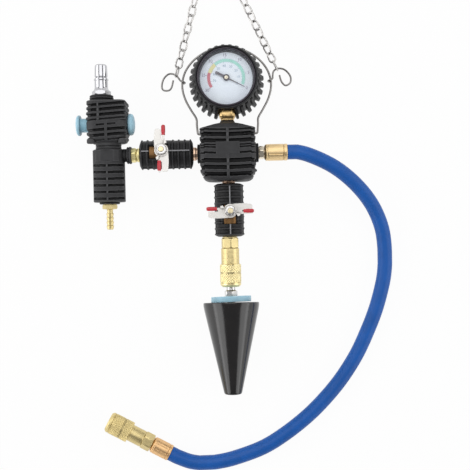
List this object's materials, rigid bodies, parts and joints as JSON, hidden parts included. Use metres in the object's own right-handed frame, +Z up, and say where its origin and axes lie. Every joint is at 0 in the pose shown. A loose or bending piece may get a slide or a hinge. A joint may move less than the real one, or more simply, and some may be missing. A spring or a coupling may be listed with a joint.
{
  "type": "radiator coolant refill kit",
  "caption": "Vacuum purge and coolant refill kit: manifold with vacuum gauge, ball valves, venturi air unit, cone adapter, hanging chain and a blue refill hose with a quick coupler.",
  "frame": {"origin": "centre of the flat pad on the back of the manifold boot, which lies on the bench", "axes": "+Z up, out of the dial; +Y from the manifold towards the gauge and the chain; +X from the manifold towards the hose"},
  "size_m": [0.3162, 0.5564, 0.056],
  "materials": {
    "black_rubber": "moulded rubber, satin",
    "cone_rubber": "glossy rubber",
    "blue_rubber": "smooth hose cover",
    "brass": "turned brass",
    "red_brass": "turned red brass",
    "chrome": "bright plate",
    "steel": "zinc plated",
    "nickel_plate": "nickel plated sheet",
    "black_metal": "black, satin",
    "dial_white": "matte pale dial",
    "dark_paint": "dark grey",
    "lens": "clear",
    "red_vinyl": "dipped vinyl",
    "blue_plastic": "anodised or moulded light blue"
  },
  "bodies": {
    "kit": {"manifold_block": "brass", "manifold_boot": "black_rubber", "nipple_left": "red_brass", "nipple_lower": "red_brass", "hose_nipple": "red_brass", "valve_1_body": "brass", "valve_1_boot": "black_rubber", "valve_2_body": "brass", "valve_2_boot": "black_rubber", "venturi_body": "black_metal", "venturi_nozzle": "brass", "head_boot": "black_rubber", "tail_boot": "black_rubber", "inlet_plug": "chrome", "side_nipple": "brass", "barb_fitting": "brass", "gauge_boot": "black_rubber", "gauge_case": "black_metal", "gauge_bezel": "black_metal", "gauge_lens": "lens", "dial_plate": "dial_white", "gauge_movement": "brass", "bourdon_tube": "brass", "gauge_socket": "brass", "coupler_body": "brass", "coupler_spring": "steel", "hose_ferrule_near": "brass", "hose": "blue_rubber", "hose_ferrule_far": "red_brass", "hose_coupler_body": "brass", "hose_coupler_spring": "steel"},
    "lever_1": {"valve_1_lever": "nickel_plate", "valve_1_lever_nut": "brass", "valve_1_stem": "brass", "valve_1_ball": "chrome", "valve_1_grip_a": "red_vinyl", "valve_1_grip_b": "red_vinyl"},
    "lever_2": {"valve_2_lever": "nickel_plate", "valve_2_lever_nut": "brass", "valve_2_stem": "brass", "valve_2_ball": "chrome", "valve_2_grip_a": "red_vinyl", "valve_2_grip_b": "red_vinyl"},
    "shuttle": {"spool": "steel", "button_left": "blue_plastic", "button_right": "blue_plastic"},
    "gauge_hand": {"pointer": "dark_paint", "pointer_shaft": "brass"},
    "bail": {"bail_wire": "steel"},
    "left_hook": {"hook_left": "steel"},
    "right_hook": {"hook_right": "steel"},
    "left_chain": {"chain_left": "steel"},
    "right_chain": {"chain_right": "steel"},
    "sleeve": {"coupler_sleeve": "brass"},
    "cone_adapter": {"adapter_nipple": "steel", "adapter_washer": "blue_plastic", "adapter_cone": "cone_rubber"},
    "hose_sleeve": {"hose_coupler_sleeve": "brass"}
  },
  "joints": [
    {"name": "lever_1_turn", "type": "hinge", "parent": "kit", "child": "lever_1", "pos_m": [-0.0653, 0, 0.028], "axis": [0, 0.1736, 0.9848], "range_deg": [0, 90]},
    {"name": "lever_2_turn", "type": "hinge", "parent": "kit", "child": "lever_2", "pos_m": [0, -0.058, 0.028], "axis": [0.061, 0, 0.9981], "range_deg": [0, 90]},
    {"name": "spool_slide", "type": "slide", "parent": "kit", "child": "shuttle", "axis": [1, 0, 0], "range_m": [0, 0.005]},
    {"name": "pointer_sweep", "type": "hinge", "parent": "kit", "child": "gauge_hand", "pos_m": [0, 0.0729, 0.044], "axis": [0, 0, 1], "range_deg": [0, 240], "stiffness_Nm_per_rad": 0.0005},
    {"name": "bail_swing", "type": "hinge", "parent": "kit", "child": "bail", "pos_m": [0, 0.0212, 0.013], "axis": [-1, 0, 0], "range_deg": [0, 100]},
    {"name": "hook_left_swing", "type": "hinge", "parent": "bail", "child": "left_hook", "pos_m": [-0.0452, 0.07607, 0.00615], "axis": [0, 0.9922, -0.1246], "range_deg": [0, 60]},
    {"name": "hook_right_swing", "type": "hinge", "parent": "bail", "child": "right_hook", "pos_m": [0.0452, 0.07607, 0.00615], "axis": [0, -0.9922, 0.1246], "range_deg": [0, 60]},
    {"name": "chain_left_swing", "type": "hinge", "parent": "left_hook", "child": "left_chain", "pos_m": [-0.0532, 0.0867, 0.0036], "axis": [0, 0, 1], "range_deg": [0, 25]},
    {"name": "chain_right_swing", "type": "hinge", "parent": "right_hook", "child": "right_chain", "pos_m": [0.0532, 0.0867, 0.0036], "axis": [0, 0, -1], "range_deg": [0, 25]},
    {"name": "coupler_sleeve_slide", "type": "slide", "parent": "kit", "child": "sleeve", "axis": [0, 1, 0], "range_m": [0, 0.004], "stiffness_N_per_m": 300, "deforming": ["coupler_spring"]},
    {"name": "adapter_swivel", "type": "hinge", "parent": "kit", "child": "cone_adapter", "pos_m": [0, -0.14, 0.028], "axis": [0, -1, 0], "continuous": true},
    {"name": "hose_sleeve_slide", "type": "slide", "parent": "kit", "child": "hose_sleeve", "axis": [0.8788, -0.4772, 0], "range_m": [0, 0.004], "stiffness_N_per_m": 300, "deforming": ["hose_coupler_spring"]}
  ]
}
